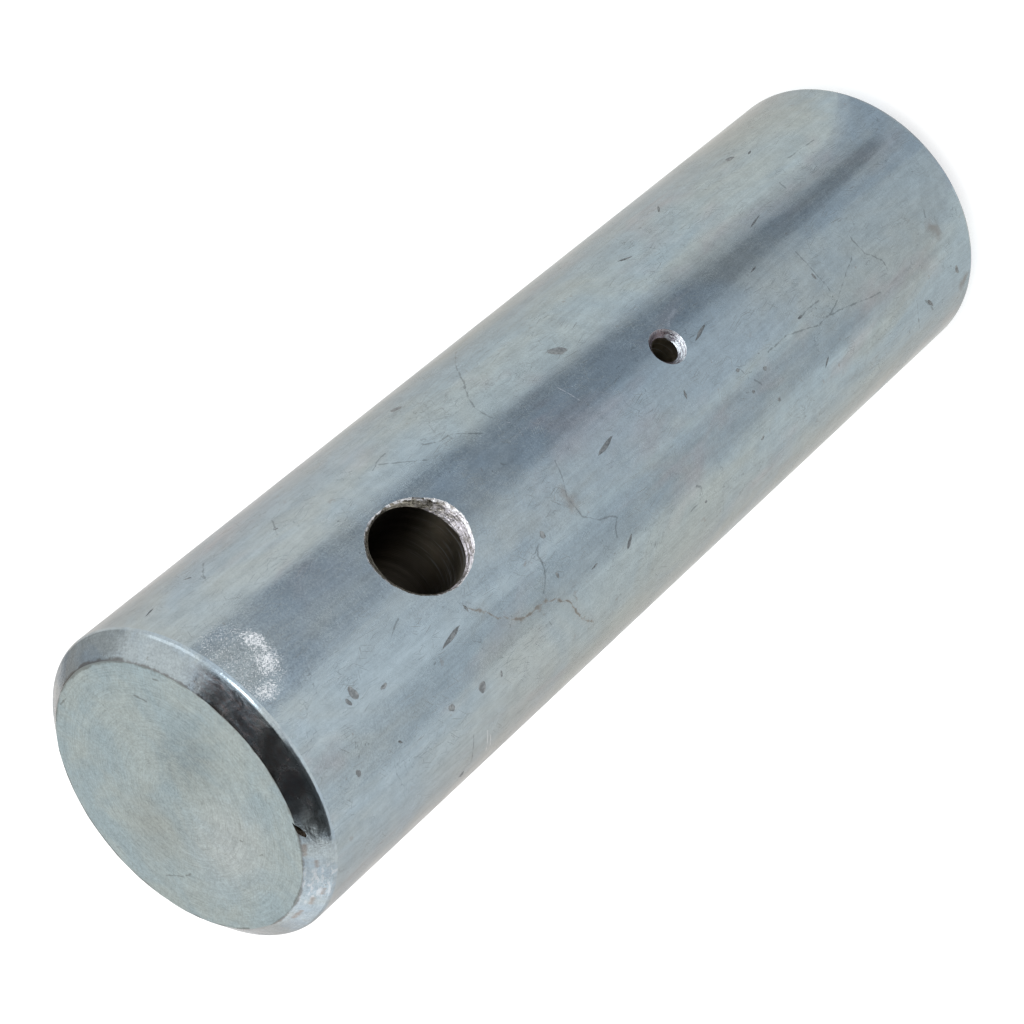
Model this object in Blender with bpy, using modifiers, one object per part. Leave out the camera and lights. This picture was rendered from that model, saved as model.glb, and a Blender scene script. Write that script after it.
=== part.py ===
# A zinc-plated steel pivot pin, turned from round bar.
#
# The pin stands on its greasing end, with its axis along +Z and the middle of
# that end at the origin. The hole for the lock bolt runs along Y near the top.
# A small grease hole opens on the front. It is fed by a gallery drilled up the
# middle of the pin, from a port that takes a grease nipple.

import math

import bpy

MM = 0.001

# The bar
PIN_DIAMETER = 45.0 * MM
PIN_LENGTH = 160.0 * MM

# Each turned end has a cone, and a small radius where the cone meets the wall
END_CHAMFER_WIDTH = 2.9 * MM
END_CHAMFER_HEIGHT = 2.6 * MM
END_BLEND_RADIUS = 0.6 * MM

# The bolt hole is drilled right through and chamfered on both sides
BOLT_HOLE_DIAMETER = 13.0 * MM
BOLT_HOLE_FROM_TOP = 37.0 * MM
BOLT_HOLE_CHAMFER = 1.5 * MM

# The grease hole is drilled to the gallery, slightly round from the bolt hole
GREASE_HOLE_DIAMETER = 4.0 * MM
GREASE_HOLE_FROM_TOP = 91.0 * MM
GREASE_HOLE_CHAMFER = 1.0 * MM
GREASE_HOLE_TURN = math.radians(-3.1)

# The gallery ends just beyond the grease hole
GALLERY_DIAMETER = 5.0 * MM
GALLERY_OVERRUN = 1.0 * MM

# The port has the tapping size of an M10 x 1 nipple
PORT_DIAMETER = 9.0 * MM
PORT_DEPTH = 12.0 * MM
PORT_CHAMFER = 0.8 * MM
DRILL_POINT_ANGLE = math.radians(118.0)

# How finely the round shapes are divided
BAR_SEGMENTS = 96
BOLT_HOLE_SEGMENTS = 64
GREASE_HOLE_SEGMENTS = 32
BLEND_STEPS = 4

# How far a cutter stands out of the bar
CUTTER_EXCESS = 2.0 * MM

# Points closer than this are one point, and edges sharper than this are crisp
MERGE_DISTANCE = 0.001 * MM
CRISP_ANGLE = math.radians(25.0)

# The finish
ZINC_COLOUR = (0.56, 0.60, 0.62, 1.0)
ZINC_METALLIC = 1.0
ZINC_ROUGHNESS = 0.32


def clear_scene():
    for obj in list(bpy.data.objects):
        bpy.data.objects.remove(obj, do_unlink=True)


def new_collection(name):
    collection = bpy.data.collections.new(name)
    bpy.context.scene.collection.children.link(collection)
    return collection


def zinc_plating():
    material = bpy.data.materials.new("zinc_plating")
    material.use_nodes = True
    shader = material.node_tree.nodes["Principled BSDF"]
    shader.inputs["Base Color"].default_value = ZINC_COLOUR
    shader.inputs["Metallic"].default_value = ZINC_METALLIC
    shader.inputs["Roughness"].default_value = ZINC_ROUGHNESS
    return material


def turned(name, profile, segments, collection):
    """A turned body about Z. The profile is a list of radius and height."""
    mesh = bpy.data.meshes.new(name)
    points = [(radius, 0.0, height) for radius, height in profile]
    edges = [(i, i + 1) for i in range(len(points) - 1)]
    mesh.from_pydata(points, edges, [])
    obj = bpy.data.objects.new(name, mesh)
    collection.objects.link(obj)
    screw = obj.modifiers.new("turning", "SCREW")
    screw.angle = math.tau
    screw.steps = segments
    screw.render_steps = segments
    screw.use_merge_vertices = True
    screw.merge_threshold = MERGE_DISTANCE
    return obj


def end_profile():
    """Radius, and depth below the end face, from the edge of the face to the wall."""
    radius = PIN_DIAMETER / 2
    turn = math.atan2(END_CHAMFER_WIDTH, END_CHAMFER_HEIGHT)
    cone_length = math.hypot(END_CHAMFER_WIDTH, END_CHAMFER_HEIGHT)
    largest_blend = cone_length / 2 / math.tan(turn / 2)
    blend = min(END_BLEND_RADIUS, largest_blend)
    blend_depth = END_CHAMFER_HEIGHT + blend * math.tan(turn / 2)
    points = [(radius - END_CHAMFER_WIDTH, 0.0)]
    for step in range(BLEND_STEPS + 1):
        angle = turn * (1 - step / BLEND_STEPS)
        inset = blend * (1 - math.cos(angle))
        points.append((radius - inset, blend_depth - blend * math.sin(angle)))
    return points


def drill_point(diameter):
    """The length of the cone that a twist drill leaves at the end of a hole."""
    return diameter / 2 / math.tan(DRILL_POINT_ANGLE / 2)


def gallery_profile():
    """The port and the gallery, from the mouth of the port up to the axis."""
    port_radius = PORT_DIAMETER / 2
    gallery_radius = GALLERY_DIAMETER / 2
    shoulder = PORT_DEPTH + drill_point(PORT_DIAMETER) - drill_point(GALLERY_DIAMETER)
    grease_hole_top = PIN_LENGTH - GREASE_HOLE_FROM_TOP + GREASE_HOLE_DIAMETER / 2
    gallery_end = grease_hole_top + GALLERY_OVERRUN
    return [
        (port_radius + PORT_CHAMFER, 0.0),
        (port_radius, PORT_CHAMFER),
        (port_radius, PORT_DEPTH),
        (gallery_radius, shoulder),
        (gallery_radius, gallery_end),
        (0.0, gallery_end + drill_point(GALLERY_DIAMETER)),
    ]


def bar(collection):
    """The turned bar, drilled up its middle."""
    top = [(radius, PIN_LENGTH - depth) for radius, depth in end_profile()]
    bottom = list(reversed(end_profile()))
    profile = [(0.0, PIN_LENGTH)] + top + bottom + gallery_profile()
    return turned("pivot_pin", profile, BAR_SEGMENTS, collection)


def drill(name, diameter, chamfer, through, segments, collection):
    """A cutter from the bar's axis out through its crown, or from crown to crown.

    Its chamfer is a 45 degree cone that starts one chamfer below the crown. On
    the round bar the chamfer is therefore wide above and below the hole, and
    narrow beside it.
    """
    crown = PIN_DIAMETER / 2
    radius = diameter / 2
    reach = crown + CUTTER_EXCESS
    mouth = [
        (0.0, reach),
        (radius + chamfer + CUTTER_EXCESS, reach),
        (radius, crown - chamfer),
    ]
    if through:
        rest = [(r, -height) for r, height in reversed(mouth)]
    else:
        rest = [(radius, 0.0), (0.0, 0.0)]
    cutter = turned(name, mouth + rest, segments, collection)
    cutter.hide_render = True
    cutter.display_type = "WIRE"
    return cutter


def cut(obj, cutter, height, turn=0.0):
    """Drills into the front of the bar at a height, turned about the bar's axis."""
    cutter.location.z = height
    cutter.rotation_euler = (math.pi / 2, 0.0, turn)
    boolean = obj.modifiers.new(cutter.name, "BOOLEAN")
    boolean.operation = "DIFFERENCE"
    boolean.solver = "EXACT"
    boolean.object = cutter


def drill_bolt_hole(pin, collection):
    cutter = drill(
        "bolt_hole",
        BOLT_HOLE_DIAMETER,
        BOLT_HOLE_CHAMFER,
        True,
        BOLT_HOLE_SEGMENTS,
        collection,
    )
    cut(pin, cutter, PIN_LENGTH - BOLT_HOLE_FROM_TOP)


def drill_grease_hole(pin, collection):
    cutter = drill(
        "grease_hole",
        GREASE_HOLE_DIAMETER,
        GREASE_HOLE_CHAMFER,
        False,
        GREASE_HOLE_SEGMENTS,
        collection,
    )
    cut(pin, cutter, PIN_LENGTH - GREASE_HOLE_FROM_TOP, GREASE_HOLE_TURN)


def finish(obj, material):
    """Makes the cuts final, then gives the object smooth walls and crisp edges."""
    weld = obj.modifiers.new("weld", "WELD")
    weld.merge_threshold = MERGE_DISTANCE
    bpy.context.view_layer.update()
    graph = bpy.context.evaluated_depsgraph_get()
    obj.data = bpy.data.meshes.new_from_object(obj.evaluated_get(graph))
    obj.modifiers.clear()
    obj.data.materials.clear()
    obj.data.materials.append(material)
    obj.data.shade_smooth()
    obj.data.set_sharp_from_angle(angle=CRISP_ANGLE)


def main():
    clear_scene()
    parts = new_collection("pivot_pin")
    cutters = new_collection("cutters")
    pin = bar(parts)
    drill_bolt_hole(pin, cutters)
    drill_grease_hole(pin, cutters)
    finish(pin, zinc_plating())


main()
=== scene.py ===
import math
import random

import bmesh
import bpy
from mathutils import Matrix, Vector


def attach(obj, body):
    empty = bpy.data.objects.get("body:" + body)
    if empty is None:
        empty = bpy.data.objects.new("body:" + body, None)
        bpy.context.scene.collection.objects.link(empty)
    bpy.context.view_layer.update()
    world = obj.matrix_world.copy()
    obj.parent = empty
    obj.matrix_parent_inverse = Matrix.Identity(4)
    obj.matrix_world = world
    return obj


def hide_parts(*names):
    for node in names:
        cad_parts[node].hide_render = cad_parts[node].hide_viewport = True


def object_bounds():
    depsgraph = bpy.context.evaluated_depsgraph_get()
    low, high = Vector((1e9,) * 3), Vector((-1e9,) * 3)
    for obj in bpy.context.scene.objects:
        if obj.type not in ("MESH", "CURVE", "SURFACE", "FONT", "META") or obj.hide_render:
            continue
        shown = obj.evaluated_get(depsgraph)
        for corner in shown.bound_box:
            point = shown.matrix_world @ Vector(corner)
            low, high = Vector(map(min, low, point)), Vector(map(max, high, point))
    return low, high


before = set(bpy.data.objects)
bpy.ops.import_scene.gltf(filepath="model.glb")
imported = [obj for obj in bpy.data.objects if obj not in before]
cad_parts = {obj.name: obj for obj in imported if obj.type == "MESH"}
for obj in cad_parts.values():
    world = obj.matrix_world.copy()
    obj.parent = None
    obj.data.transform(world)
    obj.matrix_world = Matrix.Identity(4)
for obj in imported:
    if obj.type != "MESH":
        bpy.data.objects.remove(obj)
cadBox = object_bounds()
mm = 0.001
pinRadius = cadBox[1][0]
pinHeight = cadBox[1][2]
print("frame loaded", cadBox)

body = {
    "sides": 384,
    "wallRows": 20,
    "chamferWidth": 2.9 * mm,
    "chamferHeight": 2.6 * mm,
    "blend": 0.5 * mm,        # rounds the outer edge of the chamfer
    "blendSteps": 5,
    "edgeWander": 0.09 * mm,  # how unevenly the chamfer's inner edge was turned
    "crispAngle": 32,         # in degrees
    "seed": 12,
}

port = {
    "chamfer": 0.8 * mm,
    "radius": 4.5 * mm,
    "depth": 12.0 * mm,
    "galleryRadius": 2.5 * mm,
    "galleryEnd": 72.0 * mm,
    "shoulder": 1.2 * mm,
    "point": 1.5 * mm,        # the cone that the drill leaves at the end of the gallery
    "threadPitch": 1.0 * mm,
    "threadDepth": 0.45 * mm,
    "threadTurns": 10,
    "threadSides": 64,
}

boltHole = {
    "radius": 6.5 * mm,
    "down": 37.0 * mm,
    "chamfer": 1.5 * mm,
    "sides": 160,
    "turn": 0,                # around the pin, in degrees
    "ringPitch": 0.5 * mm,    # the drill's rings in the bore
    "ringDepth": 0.02 * mm,
    "coneRings": 11,
    "ridge": 0.07 * mm,       # how deep the tool's ridges are in the countersink
    "wander": 0.12 * mm,      # how uneven the rim is
    "roughness": 0.028 * mm,  # how torn the countersink's wall is
    "seed": 4,
}

greaseHole = {
    "radius": 2.0 * mm,
    "down": 91.0 * mm,
    "chamfer": 1.0 * mm,
    "sides": 96,
    "turn": -3.1,
    "ringPitch": 0.4 * mm,
    "ringDepth": 0.015 * mm,
    "coneRings": 6,
    "ridge": 0.03 * mm,
    "wander": 0.03 * mm,
    "roughness": 0.008 * mm,
    "seed": 9,
}

# nicks and pits: around, down, length and width in mm, and the lean of the length in degrees
knocks = {
    "nickDepth": 0.08 * mm,
    "nicks": [
        (-11.3, 31.7, 4.9, 0.65, -12),
        (-5.85, 70.6, 4.9, 0.6, -11),
        (-2.65, 97.2, 3.8, 0.5, -13),
        (4.4, 121.0, 3.2, 0.3, -9),
        (-18.4, 66.7, 2.7, 0.6, -45),
        (-0.8, 113.2, 1.6, 0.3, -8),
        (-7.7, 87.7, 1.4, 0.45, -65),
        (13.6, 101.8, 2.8, 0.45, 25),
        (18.6, 6.6, 2.2, 0.32, -10),
        (-23.9, 144.9, 3.3, 0.5, 45),
        (-9.75, 36.0, 1.1, 0.4, 80),
        (17.8, 116.4, 2.4, 0.4, -38),
        (-18.4, 116.5, 2.0, 0.4, -45),
        (14.6, 135.6, 1.2, 0.4, -20),
        (19.3, 14.4, 1.3, 0.4, 60),
        (-17.4, 17.4, 0.9, 0.35, 40),
        (-17.5, 59.0, 1.5, 0.3, -3),
        (-10.2, 114.6, 1.4, 0.35, 0),
    ],
    "pitDepth": 0.05 * mm,
    "pits": [
        (-8.4, 14.4, 2.3, 1.0, 76),
        (-8.9, 13.1, 1.3, 0.5, 70),
        (-16.7, 9.5, 1.0, 0.8, 90),
        (-18.9, 27.3, 1.2, 1.0, 60),
        (-19.8, 33.4, 1.9, 1.2, 80),
        (-20.3, 37.3, 0.9, 0.45, 90),
        (-14.7, 52.1, 0.9, 0.5, 90),
        (-9.2, 53.0, 1.2, 0.8, 70),
        (8.5, 78.1, 3.0, 1.5, 50),
        (20.0, 57.3, 1.8, 1.1, 30),
        (16.4, 133.0, 1.4, 1.2, 0),
        (-7.1, 121.4, 1.0, 0.5, 80),
        (-31.9, 29.4, 1.2, 1.0, 0),
        (-22.3, 152.8, 1.7, 0.8, 60),
        (-22.5, 84.1, 0.6, 0.4, 45),
        (-13.9, 99.5, 0.6, 0.5, 0),
        (-20.8, 98.8, 0.8, 0.5, 0),
        (-17.6, 104.1, 0.7, 0.6, 0),
        (-10.0, 98.6, 0.8, 0.5, 0),
        (-12.4, 103.5, 0.9, 0.6, 30),
        (15.5, 27.2, 0.7, 0.4, 40),
        (-10.3, 18.8, 1.1, 0.6, 0),
    ],
    "uneven": 0.25,           # how irregular the outlines of both are
    "backNicks": 9,           # more of both on the side away from the bolt hole
    "backPits": 12,
    "backDown": (8, 152),     # how far down they may lie
    "notchPlace": (-15.2 * mm, -12.85 * mm),  # the gouge across the top chamfer's inner edge
    "notchLean": -24,
    "notchSize": (3.4 * mm, 0.65 * mm, 0.7 * mm),
    "notchSunk": 0.15 * mm,
    "seed": 21,
}


def deselect():
    bpy.ops.object.select_all(action="DESELECT")


def select(piece):
    deselect()
    piece.select_set(True)
    bpy.context.view_layer.objects.active = piece


def edit(piece):
    select(piece)
    bpy.ops.object.mode_set(mode="EDIT")


def stopEditing():
    bpy.ops.object.mode_set(mode="OBJECT")


def pick(piece, kind, test):
    # selects the parts of the mesh in edit mode that pass the test
    bpy.ops.mesh.select_mode(type=kind)
    bpy.ops.mesh.select_all(action="DESELECT")
    cage = bmesh.from_edit_mesh(piece.data)
    parts = {"VERT": cage.verts, "EDGE": cage.edges, "FACE": cage.faces}[kind]
    for part in parts:
        if test(part):
            part.select = True
    cage.select_flush_mode()
    bmesh.update_edit_mesh(piece.data)


def settle(piece):
    select(piece)
    bpy.ops.object.transform_apply(location=True, rotation=True, scale=True)


def apply(piece, modifier):
    select(piece)
    bpy.ops.object.modifier_apply(modifier=modifier.name)


def cutAway(piece, cutter):
    cut = piece.modifiers.new(cutter.name, "BOOLEAN")
    cut.operation = "DIFFERENCE"
    cut.solver = "EXACT"
    cut.material_mode = "TRANSFER"
    cut.object = cutter
    apply(piece, cut)
    bpy.data.objects.remove(cutter)


def fromAxis(vert):
    return math.hypot(vert.co.x, vert.co.y)


def riseOf(edge):
    return abs(edge.verts[0].co.z - edge.verts[1].co.z)


def near(first, second):
    return abs(first - second) < 0.01 * mm


def chamferEnd(piece, height, outwards):
    # insets the end face, pulls its rim back along the wall and rounds the outer edge
    def onRim(vert, level):
        return near(vert.co.z, level) and near(fromAxis(vert), pinRadius)

    pick(piece, "FACE", lambda f: f.normal.z * outwards > 0.9)
    bpy.ops.mesh.inset(thickness=body["chamferWidth"])
    pick(piece, "VERT", lambda v: onRim(v, height))
    drop = -outwards * body["chamferHeight"]
    bpy.ops.transform.translate(value=(0, 0, drop))
    pick(piece, "EDGE", lambda e: all(onRim(v, height + drop) for v in e.verts))
    bpy.ops.mesh.bevel(offset=body["blend"], segments=body["blendSteps"], profile=0.5, affect="EDGES")


def wander(piece, low, high, size, seed, inside=pinRadius * 2):
    # moves the points between two heights in and out, so that an edge wanders as a hand-fed tool leaves it
    chance = random.Random(seed)
    waves = []
    for count in (3, 7, 13, 22, 37, 61):
        waves.append((count, chance.uniform(0, math.tau), chance.uniform(0.3, 1) / count ** 0.5))
    for vert in piece.data.vertices:
        if low <= vert.co.z <= high and 0 < fromAxis(vert) < inside:
            angle = math.atan2(vert.co.y, vert.co.x)
            push = sum(share * math.sin(count * angle + start) for count, start, share in waves)
            grow = 1 + push * size / fromAxis(vert)
            vert.co.x *= grow
            vert.co.y *= grow


def extrudeUp(rise):
    bpy.ops.mesh.extrude_region_move(TRANSFORM_OT_translate={"value": (0, 0, rise)})


def boreGallery(piece):
    # the nipple port and the gallery behind it, as drilled up from the bottom face
    pick(piece, "FACE", lambda f: f.normal.z < -0.9 and f.calc_center_median().xy.length < 0.1 * mm)
    mouth = port["radius"] + port["chamfer"]
    bpy.ops.mesh.inset(thickness=pinRadius - body["chamferWidth"] - mouth)
    bpy.ops.mesh.inset(thickness=port["chamfer"], depth=-port["chamfer"])
    extrudeUp(port["depth"] - port["chamfer"])
    bpy.ops.mesh.inset(thickness=port["radius"] - port["galleryRadius"], depth=-port["shoulder"])
    extrudeUp(port["galleryEnd"] - port["depth"] - port["shoulder"])
    extrudeUp(port["point"])
    bpy.ops.mesh.merge(type="CENTER")


def makeBar():
    deselect()
    bpy.ops.mesh.primitive_cylinder_add(
        vertices=body["sides"], radius=pinRadius, depth=pinHeight, location=(0, 0, pinHeight / 2)
    )
    bar = bpy.context.object
    bar.name = "pivotPin"
    settle(bar)
    edit(bar)
    chamferEnd(bar, pinHeight, 1)
    chamferEnd(bar, 0, -1)
    boreGallery(bar)
    pick(bar, "EDGE", lambda e: riseOf(e) > pinHeight / 2 and fromAxis(e.verts[0]) > pinRadius / 2)
    bpy.ops.mesh.subdivide(number_cuts=body["wallRows"] - 1)
    stopEditing()
    inner = pinRadius - body["chamferWidth"] + 0.05 * mm
    wander(bar, pinHeight - 0.01 * mm, pinHeight + 0.01 * mm, body["edgeWander"], body["seed"], inner)
    return bar


def threadPort(piece, material):
    # a helical groove for the nipple's thread, cut by a coil with a three-sided section
    deselect()
    bpy.ops.mesh.primitive_circle_add(
        vertices=3, radius=port["threadDepth"], fill_type="NOTHING", rotation=(math.pi / 2, math.pi / 2, 0)
    )
    coil = bpy.context.object
    settle(coil)
    edit(coil)
    bpy.ops.mesh.select_all(action="SELECT")
    bpy.ops.transform.translate(value=(port["radius"], 0, port["chamfer"] / 2))
    stopEditing()
    winding = coil.modifiers.new("winding", "SCREW")
    winding.screw_offset = port["threadPitch"]
    winding.iterations = port["threadTurns"]
    winding.steps = port["threadSides"]
    winding.render_steps = port["threadSides"]
    winding.use_merge_vertices = False
    apply(coil, winding)
    edit(coil)
    bpy.ops.mesh.select_all(action="SELECT")
    bpy.ops.mesh.fill_holes(sides=3)
    bpy.ops.mesh.select_all(action="SELECT")
    bpy.ops.mesh.normals_make_consistent(inside=False)
    stopEditing()
    coil.data.materials.append(material)
    cutAway(piece, coil)


def ringUp(tool, hole, low, high, count, depth):
    # cuts rings into the side of a drill, then pushes each one in or out a little
    step = (high - low) / (count + 1)
    chance = random.Random(hole["seed"])
    pick(tool, "EDGE", lambda e: riseOf(e) > (high - low) * 0.9)
    bpy.ops.mesh.subdivide(number_cuts=count)
    for ring in range(1, count + 1):
        height = low + ring * step
        pick(tool, "VERT", lambda v: abs(v.co.z - height) < step * 0.2)
        grow = 1 + chance.uniform(-1, 1) * depth / hole["radius"]
        bpy.ops.transform.resize(value=(grow, grow, 1), center_override=(0, 0, height))


def aim(tool, hole):
    # swings a drill that was made along Z to point at the front, at the hole's height
    tool.rotation_euler = (math.pi / 2, 0, math.radians(hole["turn"]))
    tool.location = (0, 0, pinHeight - hole["down"])
    settle(tool)


def drillBore(piece, hole, start, material):
    reach = pinRadius + 2 * mm
    length = reach - start
    deselect()
    bpy.ops.mesh.primitive_cylinder_add(
        vertices=hole["sides"], radius=hole["radius"], depth=length, location=(0, 0, start + length / 2)
    )
    tool = bpy.context.object
    settle(tool)
    edit(tool)
    ringUp(tool, hole, start, reach, int(length / hole["ringPitch"]), hole["ringDepth"])
    stopEditing()
    tool.data.materials.append(material)
    aim(tool, hole)
    cutAway(piece, tool)


def sinkMouth(piece, hole, side, material):
    # a 45 degree cone with turned rings and a ragged wall
    over = 1 * mm
    low = pinRadius - hole["chamfer"]
    high = pinRadius + over
    deselect()
    bpy.ops.mesh.primitive_cone_add(
        vertices=hole["sides"] * 2,
        radius1=hole["radius"],
        radius2=hole["radius"] + hole["chamfer"] + over,
        depth=high - low,
        location=(0, 0, (low + high) / 2),
    )
    tool = bpy.context.object
    settle(tool)
    edit(tool)
    ringUp(tool, hole, low, high, hole["coneRings"], hole["ridge"])
    pick(tool, "VERT", lambda v: low + 0.1 * mm < v.co.z < high - 0.1 * mm)
    bpy.ops.transform.vertex_random(
        offset=hole["roughness"], uniform=0.3, normal=0.7, seed=hole["seed"] + side
    )
    stopEditing()
    wander(tool, low + 0.05 * mm, high, hole["wander"], hole["seed"] + side)
    tool.data.materials.append(material)
    if side < 0:
        tool.rotation_euler = (math.pi, 0, 0)
        settle(tool)
    aim(tool, hole)
    cutAway(piece, tool)


def backMarks(count, lengths, widths, seed):
    # random marks on the side away from the bolt hole
    chance = random.Random(seed)
    edge = math.pi * pinRadius / mm
    marks = []
    for turn in range(count):
        around = chance.choice((-1, 1)) * chance.uniform(edge * 0.5, edge * 0.97)
        length = chance.uniform(*lengths)
        down = chance.uniform(*knocks["backDown"])
        width = chance.uniform(*widths)
        marks.append((around, down, length, width, chance.uniform(-50, 50)))
    return marks


def makeDent(pointed):
    # a ball, or a spindle with pointed ends, one unit in radius
    deselect()
    bpy.ops.mesh.primitive_uv_sphere_add(segments=16, ring_count=12, radius=1)
    dent = bpy.context.object
    if pointed:
        for vert in dent.data.vertices:
            slim = fromAxis(vert)
            vert.co.x *= slim
            vert.co.y *= slim
    return dent


def knockWall(piece, marks, depth, pointed, material):
    chance = random.Random(knocks["seed"])
    pattern = makeDent(pointed)
    pattern.data.materials.append(material)
    copies = []
    for around, down, length, width, lean in marks:
        copy = pattern.copy()
        copy.data = pattern.data.copy()
        bpy.context.scene.collection.objects.link(copy)
        starts = [(count, chance.uniform(0, math.tau)) for count in (2, 3, 5, 8)]
        for vert in copy.data.vertices:
            angle = math.atan2(vert.co.z, vert.co.x)
            push = sum(math.sin(count * angle + start) / count for count, start in starts)
            grow = 1 + push * knocks["uneven"]
            vert.co.x *= grow
            vert.co.z *= grow
        turn = around * mm / pinRadius
        copy.scale = (width / 2 * mm, depth, length / 2 * mm)
        copy.rotation_euler = (0, math.radians(lean), turn)
        copy.location = (pinRadius * math.sin(turn), -pinRadius * math.cos(turn), pinHeight - down * mm)
        copies.append(copy)
    bpy.data.objects.remove(pattern)
    deselect()
    for copy in copies:
        copy.select_set(True)
    bpy.context.view_layer.objects.active = copies[0]
    bpy.ops.object.join()
    tool = bpy.context.object
    settle(tool)
    cutAway(piece, tool)


def gougeEdge(piece, material):
    # the one deep notch where something struck the inner edge of the top chamfer
    gouge = makeDent(True)
    gouge.data.materials.append(material)
    length, width, depth = knocks["notchSize"]
    gouge.scale = (width / 2, depth, length / 2)
    gouge.rotation_euler = (math.pi / 2, 0, math.radians(90 + knocks["notchLean"]))
    gouge.location = (*knocks["notchPlace"], pinHeight - knocks["notchSunk"])
    settle(gouge)
    cutAway(piece, gouge)


def addNode(tree, kind, sockets=None, **settings):
    made = tree.nodes.new("ShaderNode" + kind)
    for name, value in settings.items():
        setattr(made, name, value)
    for socket, value in (sockets or {}).items():
        if isinstance(value, bpy.types.NodeSocket):
            tree.links.new(value, made.inputs[socket])
        else:
            made.inputs[socket].default_value = value
    return made


def reckon(tree, operation, *values):
    return addNode(tree, "Math", dict(enumerate(values)), operation=operation).outputs[0]


def total(tree, *values):
    result = values[0]
    for value in values[1:]:
        result = reckon(tree, "ADD", result, value)
    return result


def times(tree, *values):
    result = values[0]
    for value in values[1:]:
        result = reckon(tree, "MULTIPLY", result, value)
    return result


def arrow(tree, operation, *values):
    # vector arithmetic that gives a vector
    return addNode(tree, "VectorMath", dict(enumerate(values)), operation=operation).outputs["Vector"]


def measure(tree, operation, *values):
    # vector arithmetic that gives a number: a length, a distance or a dot product
    return addNode(tree, "VectorMath", dict(enumerate(values)), operation=operation).outputs["Value"]


def scaled(tree, value, amount):
    return addNode(tree, "VectorMath", {0: value, "Scale": amount}, operation="SCALE").outputs["Vector"]


def pair(tree, first, second):
    # two numbers made a place
    return addNode(tree, "CombineXYZ", {0: first, 1: second}).outputs[0]


def fade(tree, value, start, end, low=0.0, high=1.0):
    # a smooth step from low at start to high at end
    sockets = {"Value": value, "From Min": start, "From Max": end, "To Min": low, "To Max": high}
    return addNode(tree, "MapRange", sockets, interpolation_type="SMOOTHSTEP").outputs[0]


def blotch(tree, place, size, detail=2.0, rough=0.5, warp=0.0):
    # noise with blotches of about that size, in the units of the place
    sockets = {"Vector": place, "Scale": 1 / size, "Detail": detail, "Roughness": rough, "Distortion": warp}
    return addNode(tree, "TexNoise", sockets).outputs[0]


def stretched(tree, place, sizes, detail, rough, warp=0.0, lean=0.0):
    # noise whose blotches have those sizes along the axes, leaning by an angle about Z
    sockets = {"Vector": place, "Scale": sizes, "Rotation": (0, 0, math.radians(lean))}
    local = addNode(tree, "Mapping", sockets, vector_type="TEXTURE").outputs[0]
    return blotch(tree, local, 1, detail, rough, warp)


def tint(tree, amount, first, second, way="MIX"):
    mix = addNode(tree, "Mix", data_type="RGBA", blend_type=way)
    for socket, value in zip((0, 6, 7), (amount, first, second)):
        if isinstance(value, bpy.types.NodeSocket):
            tree.links.new(value, mix.inputs[socket])
        elif socket:
            mix.inputs[socket].default_value = (*value, 1)
        else:
            mix.inputs[socket].default_value = value
    return mix.outputs[2]


def shaded(tree, colour, shade):
    # the colour made lighter or darker by a number around 1
    grey = addNode(tree, "CombineColor", {0: shade, 1: shade, 2: shade}).outputs[0]
    return tint(tree, 1.0, colour, grey, "MULTIPLY")


def bump(tree, *layers):
    # each layer is a height and its depth in mm
    normal = None
    for height, depth in layers:
        sockets = {"Height": height, "Distance": depth * mm, "Strength": 1.0}
        if normal:
            sockets["Normal"] = normal
        normal = addNode(tree, "Bump", sockets).outputs[0]
    return normal


def spread(tree, noise, low=0.0, high=1.0):
    # noise, most of which lies between 0.3 and 0.7, made a number from low to high
    return fade(tree, noise, 0.3, 0.7, low, high)


def swing(tree, noise, size):
    return spread(tree, noise, -size, size)


zincTones = {
    "cool": (0.332, 0.404, 0.450),
    "warm": (0.378, 0.420, 0.420),
    "rosy": (0.400, 0.392, 0.405),
    "speck": (0.235, 0.212, 0.195),
    "scratch": (0.24, 0.27, 0.28),
    "edge": (0.74, 0.70, 0.67, 1),  # how much the metal brightens where it is seen almost edge on
    "roughness": 0.20,
    "relief": 0.01,                 # the depth of the fine scratches in mm
}


def startMetal(name):
    # an empty metal, its shader and the object's place in mm
    material = bpy.data.materials.new(name)
    material.use_nodes = True
    tree = material.node_tree
    shader = tree.nodes["Principled BSDF"]
    shader.inputs["Metallic"].default_value = 1
    shader.inputs["Specular Tint"].default_value = zincTones["edge"]
    place = addNode(tree, "TexCoord").outputs["Object"]
    place = addNode(tree, "Mapping", {"Vector": place, "Scale": (1 / mm, 1 / mm, 1 / mm)}).outputs[0]
    return material, tree, shader, place


def dress(tree, shader, colour, roughness, normal):
    tree.links.new(colour, shader.inputs["Base Color"])
    tree.links.new(roughness, shader.inputs["Roughness"])
    tree.links.new(normal, shader.inputs["Normal"])


def unrolled(tree, place):
    # around and down, around and distance from the axis, and that distance alone, in mm
    axes = addNode(tree, "SeparateXYZ", {0: place})
    front = reckon(tree, "MULTIPLY", axes.outputs[1], -1)
    angle = reckon(tree, "ARCTAN2", axes.outputs[0], front)
    around = reckon(tree, "MULTIPLY", angle, pinRadius / mm)
    down = reckon(tree, "SUBTRACT", pinHeight / mm, axes.outputs[2])
    flat = pair(tree, axes.outputs[0], axes.outputs[1])
    radius = measure(tree, "LENGTH", flat)
    wall = pair(tree, around, down)
    turned = pair(tree, around, radius)
    return wall, turned, radius


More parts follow.
